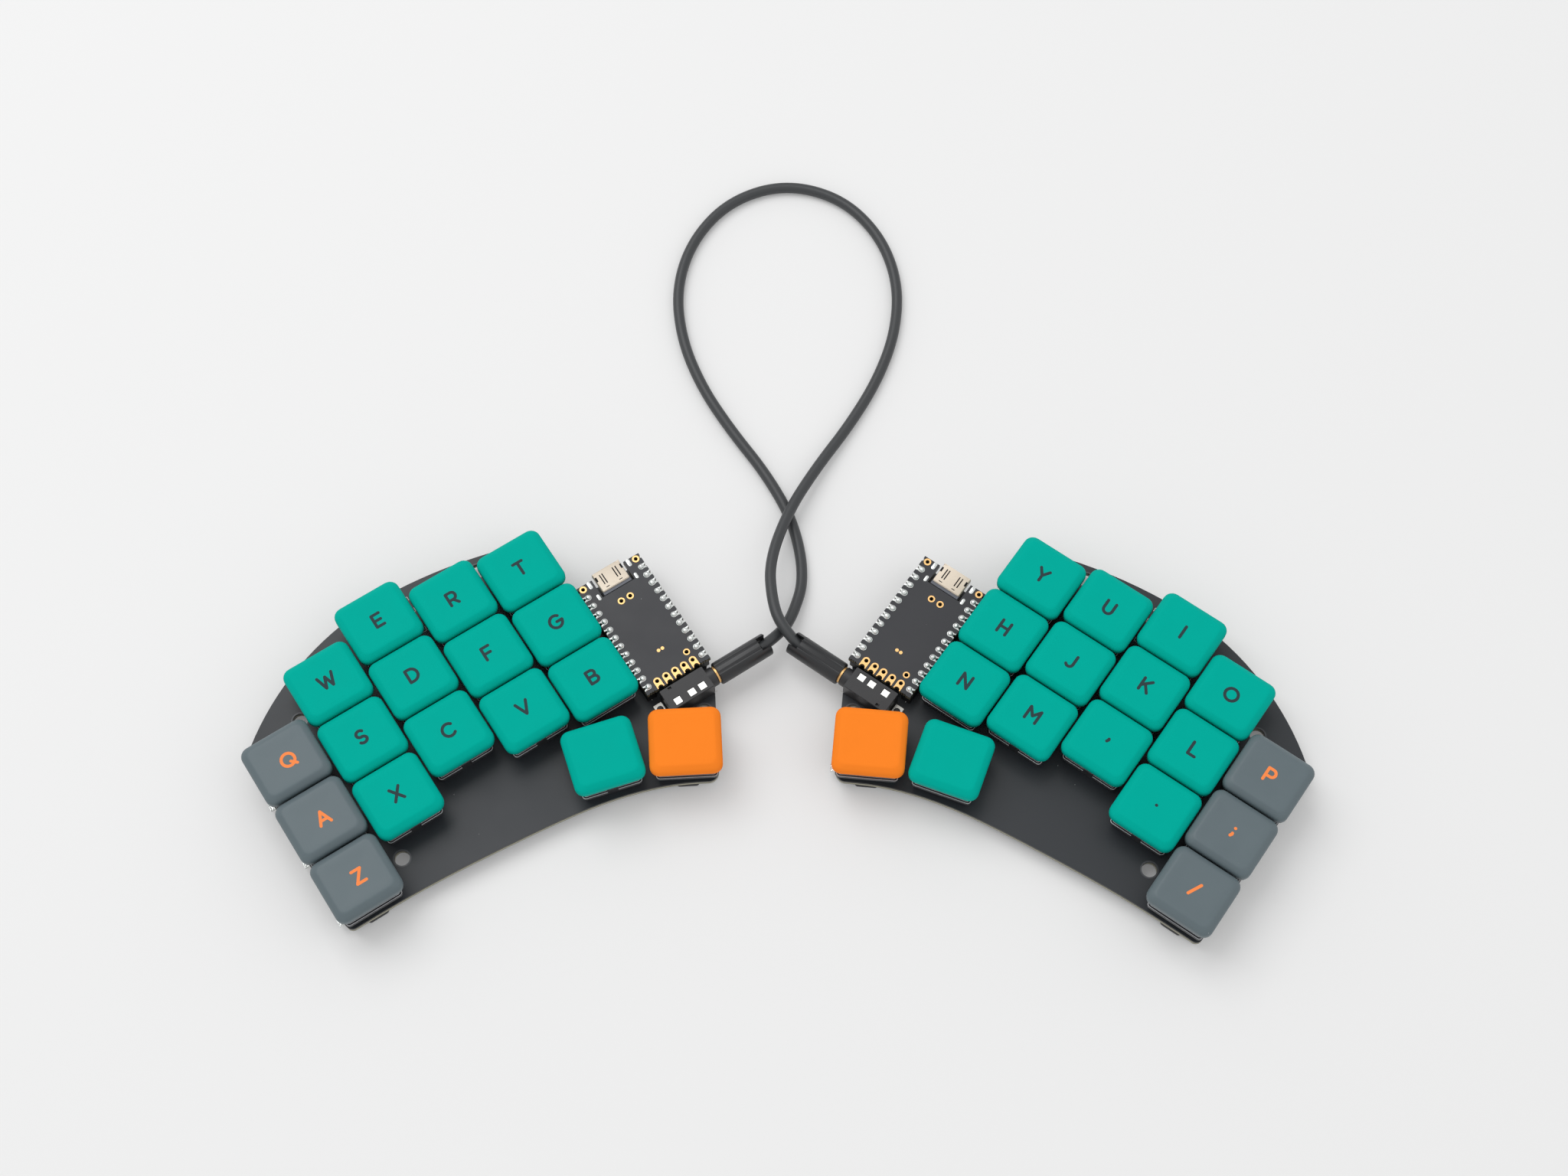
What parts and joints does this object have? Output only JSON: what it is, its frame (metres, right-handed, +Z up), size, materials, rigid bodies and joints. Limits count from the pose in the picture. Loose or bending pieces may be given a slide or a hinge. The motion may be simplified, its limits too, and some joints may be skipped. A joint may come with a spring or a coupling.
{
  "type": "split keyboard",
  "caption": "Split ergonomic keyboard: two bare-board halves with low-profile keys and thumb clusters, joined by a short audio-type cable.",
  "frame": {"origin": "on the desk, under the middle of the box around both halves", "axes": "+X from the left half to the right half, +Y away from the typist, +Z up"},
  "size_m": [0.2566, 0.2115, 0.0149],
  "materials": {
    "cap_gray": "fine matte",
    "cap_teal": "fine matte",
    "cap_orange": "fine matte",
    "board_black": "matte solder mask",
    "switch_black": "moulded",
    "switch_gray": "moulded, slightly glossy",
    "socket_black": "moulded",
    "controller_black": "matte solder mask",
    "jack_black": "satin moulded",
    "plug_black": "satin moulded",
    "reset_gray": "satin plate",
    "reset_black": "matte",
    "foot_rubber": "soft matte",
    "strip_black": "moulded",
    "solder": "bright solder",
    "port_steel": "plated shell",
    "contact_steel": "bright plated",
    "plug_gold": "gold plated",
    "cable_black": "smooth soft jacket"
  },
  "bodies": {
    "keyboard": {"left_main_board": "board_black", "left_switch_bases": "switch_black", "left_switch_covers": "switch_gray", "left_sockets": "socket_black", "left_controller": "controller_black", "left_audio_jack": "jack_black", "left_plug": "plug_black", "left_reset_switch": "reset_gray", "right_main_board": "board_black", "right_switch_bases": "switch_black", "right_switch_covers": "switch_gray", "right_sockets": "socket_black", "right_controller": "controller_black", "right_audio_jack": "jack_black", "right_plug": "plug_black", "right_reset_switch": "reset_gray", "rubber_feet": "foot_rubber", "header_strips": "strip_black", "header_pins": "solder", "data_ports": "port_steel", "jack_contacts": "contact_steel", "plug_barrels": "plug_gold", "cable": "cable_black"},
    "key_q_body": {"key_q": "cap_gray"},
    "key_w_body": {"key_w": "cap_teal"},
    "key_e_body": {"key_e": "cap_teal"},
    "key_r_body": {"key_r": "cap_teal"},
    "key_t_body": {"key_t": "cap_teal"},
    "key_a_body": {"key_a": "cap_gray"},
    "key_s_body": {"key_s": "cap_teal"},
    "key_d_body": {"key_d": "cap_teal"},
    "key_f_body": {"key_f": "cap_teal"},
    "key_g_body": {"key_g": "cap_teal"},
    "key_z_body": {"key_z": "cap_gray"},
    "key_x_body": {"key_x": "cap_teal"},
    "key_c_body": {"key_c": "cap_teal"},
    "key_v_body": {"key_v": "cap_teal"},
    "key_b_body": {"key_b": "cap_teal"},
    "key_left_outer_thumb_body": {"key_left_outer_thumb": "cap_teal"},
    "key_left_inner_thumb_body": {"key_left_inner_thumb": "cap_orange"},
    "key_p_body": {"key_p": "cap_gray"},
    "key_o_body": {"key_o": "cap_teal"},
    "key_i_body": {"key_i": "cap_teal"},
    "key_u_body": {"key_u": "cap_teal"},
    "key_y_body": {"key_y": "cap_teal"},
    "key_semicolon_body": {"key_semicolon": "cap_gray"},
    "key_l_body": {"key_l": "cap_teal"},
    "key_k_body": {"key_k": "cap_teal"},
    "key_j_body": {"key_j": "cap_teal"},
    "key_h_body": {"key_h": "cap_teal"},
    "key_slash_body": {"key_slash": "cap_gray"},
    "key_period_body": {"key_period": "cap_teal"},
    "key_comma_body": {"key_comma": "cap_teal"},
    "key_m_body": {"key_m": "cap_teal"},
    "key_n_body": {"key_n": "cap_teal"},
    "key_right_outer_thumb_body": {"key_right_outer_thumb": "cap_teal"},
    "key_right_inner_thumb_body": {"key_right_inner_thumb": "cap_orange"},
    "left_reset_body": {"left_reset_button": "reset_black"},
    "right_reset_body": {"right_reset_button": "reset_black"}
  },
  "joints": [
    {"name": "press_q", "type": "slide", "parent": "keyboard", "child": "key_q_body", "axis": [0, 0, -1], "range_m": [0, 0.003], "stiffness_N_per_m": 100, "springref_m": -0.0035},
    {"name": "press_w", "type": "slide", "parent": "keyboard", "child": "key_w_body", "axis": [0, 0, -1], "range_m": [0, 0.003], "stiffness_N_per_m": 100, "springref_m": -0.0035},
    {"name": "press_e", "type": "slide", "parent": "keyboard", "child": "key_e_body", "axis": [0, 0, -1], "range_m": [0, 0.003], "stiffness_N_per_m": 100, "springref_m": -0.0035},
    {"name": "press_r", "type": "slide", "parent": "keyboard", "child": "key_r_body", "axis": [0, 0, -1], "range_m": [0, 0.003], "stiffness_N_per_m": 100, "springref_m": -0.0035},
    {"name": "press_t", "type": "slide", "parent": "keyboard", "child": "key_t_body", "axis": [0, 0, -1], "range_m": [0, 0.003], "stiffness_N_per_m": 100, "springref_m": -0.0035},
    {"name": "press_a", "type": "slide", "parent": "keyboard", "child": "key_a_body", "axis": [0, 0, -1], "range_m": [0, 0.003], "stiffness_N_per_m": 100, "springref_m": -0.0035},
    {"name": "press_s", "type": "slide", "parent": "keyboard", "child": "key_s_body", "axis": [0, 0, -1], "range_m": [0, 0.003], "stiffness_N_per_m": 100, "springref_m": -0.0035},
    {"name": "press_d", "type": "slide", "parent": "keyboard", "child": "key_d_body", "axis": [0, 0, -1], "range_m": [0, 0.003], "stiffness_N_per_m": 100, "springref_m": -0.0035},
    {"name": "press_f", "type": "slide", "parent": "keyboard", "child": "key_f_body", "axis": [0, 0, -1], "range_m": [0, 0.003], "stiffness_N_per_m": 100, "springref_m": -0.0035},
    {"name": "press_g", "type": "slide", "parent": "keyboard", "child": "key_g_body", "axis": [0, 0, -1], "range_m": [0, 0.003], "stiffness_N_per_m": 100, "springref_m": -0.0035},
    {"name": "press_z", "type": "slide", "parent": "keyboard", "child": "key_z_body", "axis": [0, 0, -1], "range_m": [0, 0.003], "stiffness_N_per_m": 100, "springref_m": -0.0035},
    {"name": "press_x", "type": "slide", "parent": "keyboard", "child": "key_x_body", "axis": [0, 0, -1], "range_m": [0, 0.003], "stiffness_N_per_m": 100, "springref_m": -0.0035},
    {"name": "press_c", "type": "slide", "parent": "keyboard", "child": "key_c_body", "axis": [0, 0, -1], "range_m": [0, 0.003], "stiffness_N_per_m": 100, "springref_m": -0.0035},
    {"name": "press_v", "type": "slide", "parent": "keyboard", "child": "key_v_body", "axis": [0, 0, -1], "range_m": [0, 0.003], "stiffness_N_per_m": 100, "springref_m": -0.0035},
    {"name": "press_b", "type": "slide", "parent": "keyboard", "child": "key_b_body", "axis": [0, 0, -1], "range_m": [0, 0.003], "stiffness_N_per_m": 100, "springref_m": -0.0035},
    {"name": "press_left_outer_thumb", "type": "slide", "parent": "keyboard", "child": "key_left_outer_thumb_body", "axis": [0, 0, -1], "range_m": [0, 0.003], "stiffness_N_per_m": 100, "springref_m": -0.0035},
    {"name": "press_left_inner_thumb", "type": "slide", "parent": "keyboard", "child": "key_left_inner_thumb_body", "axis": [0, 0, -1], "range_m": [0, 0.003], "stiffness_N_per_m": 100, "springref_m": -0.0035},
    {"name": "press_p", "type": "slide", "parent": "keyboard", "child": "key_p_body", "axis": [0, 0, -1], "range_m": [0, 0.003], "stiffness_N_per_m": 100, "springref_m": -0.0035},
    {"name": "press_o", "type": "slide", "parent": "keyboard", "child": "key_o_body", "axis": [0, 0, -1], "range_m": [0, 0.003], "stiffness_N_per_m": 100, "springref_m": -0.0035},
    {"name": "press_i", "type": "slide", "parent": "keyboard", "child": "key_i_body", "axis": [0, 0, -1], "range_m": [0, 0.003], "stiffness_N_per_m": 100, "springref_m": -0.0035},
    {"name": "press_u", "type": "slide", "parent": "keyboard", "child": "key_u_body", "axis": [0, 0, -1], "range_m": [0, 0.003], "stiffness_N_per_m": 100, "springref_m": -0.0035},
    {"name": "press_y", "type": "slide", "parent": "keyboard", "child": "key_y_body", "axis": [0, 0, -1], "range_m": [0, 0.003], "stiffness_N_per_m": 100, "springref_m": -0.0035},
    {"name": "press_semicolon", "type": "slide", "parent": "keyboard", "child": "key_semicolon_body", "axis": [0, 0, -1], "range_m": [0, 0.003], "stiffness_N_per_m": 100, "springref_m": -0.0035},
    {"name": "press_l", "type": "slide", "parent": "keyboard", "child": "key_l_body", "axis": [0, 0, -1], "range_m": [0, 0.003], "stiffness_N_per_m": 100, "springref_m": -0.0035},
    {"name": "press_k", "type": "slide", "parent": "keyboard", "child": "key_k_body", "axis": [0, 0, -1], "range_m": [0, 0.003], "stiffness_N_per_m": 100, "springref_m": -0.0035},
    {"name": "press_j", "type": "slide", "parent": "keyboard", "child": "key_j_body", "axis": [0, 0, -1], "range_m": [0, 0.003], "stiffness_N_per_m": 100, "springref_m": -0.0035},
    {"name": "press_h", "type": "slide", "parent": "keyboard", "child": "key_h_body", "axis": [0, 0, -1], "range_m": [0, 0.003], "stiffness_N_per_m": 100, "springref_m": -0.0035},
    {"name": "press_slash", "type": "slide", "parent": "keyboard", "child": "key_slash_body", "axis": [0, 0, -1], "range_m": [0, 0.003], "stiffness_N_per_m": 100, "springref_m": -0.0035},
    {"name": "press_period", "type": "slide", "parent": "keyboard", "child": "key_period_body", "axis": [0, 0, -1], "range_m": [0, 0.003], "stiffness_N_per_m": 100, "springref_m": -0.0035},
    {"name": "press_comma", "type": "slide", "parent": "keyboard", "child": "key_comma_body", "axis": [0, 0, -1], "range_m": [0, 0.003], "stiffness_N_per_m": 100, "springref_m": -0.0035},
    {"name": "press_m", "type": "slide", "parent": "keyboard", "child": "key_m_body", "axis": [0, 0, -1], "range_m": [0, 0.003], "stiffness_N_per_m": 100, "springref_m": -0.0035},
    {"name": "press_n", "type": "slide", "parent": "keyboard", "child": "key_n_body", "axis": [0, 0, -1], "range_m": [0, 0.003], "stiffness_N_per_m": 100, "springref_m": -0.0035},
    {"name": "press_right_outer_thumb", "type": "slide", "parent": "keyboard", "child": "key_right_outer_thumb_body", "axis": [0, 0, -1], "range_m": [0, 0.003], "stiffness_N_per_m": 100, "springref_m": -0.0035},
    {"name": "press_right_inner_thumb", "type": "slide", "parent": "keyboard", "child": "key_right_inner_thumb_body", "axis": [0, 0, -1], "range_m": [0, 0.003], "stiffness_N_per_m": 100, "springref_m": -0.0035},
    {"name": "left_reset_press", "type": "slide", "parent": "keyboard", "child": "left_reset_body", "axis": [0, 0, -1], "range_m": [0, 0.00025], "stiffness_N_per_m": 4000, "springref_m": -0.0002},
    {"name": "right_reset_press", "type": "slide", "parent": "keyboard", "child": "right_reset_body", "axis": [0, 0, -1], "range_m": [0, 0.00025], "stiffness_N_per_m": 4000, "springref_m": -0.0002}
  ]
}
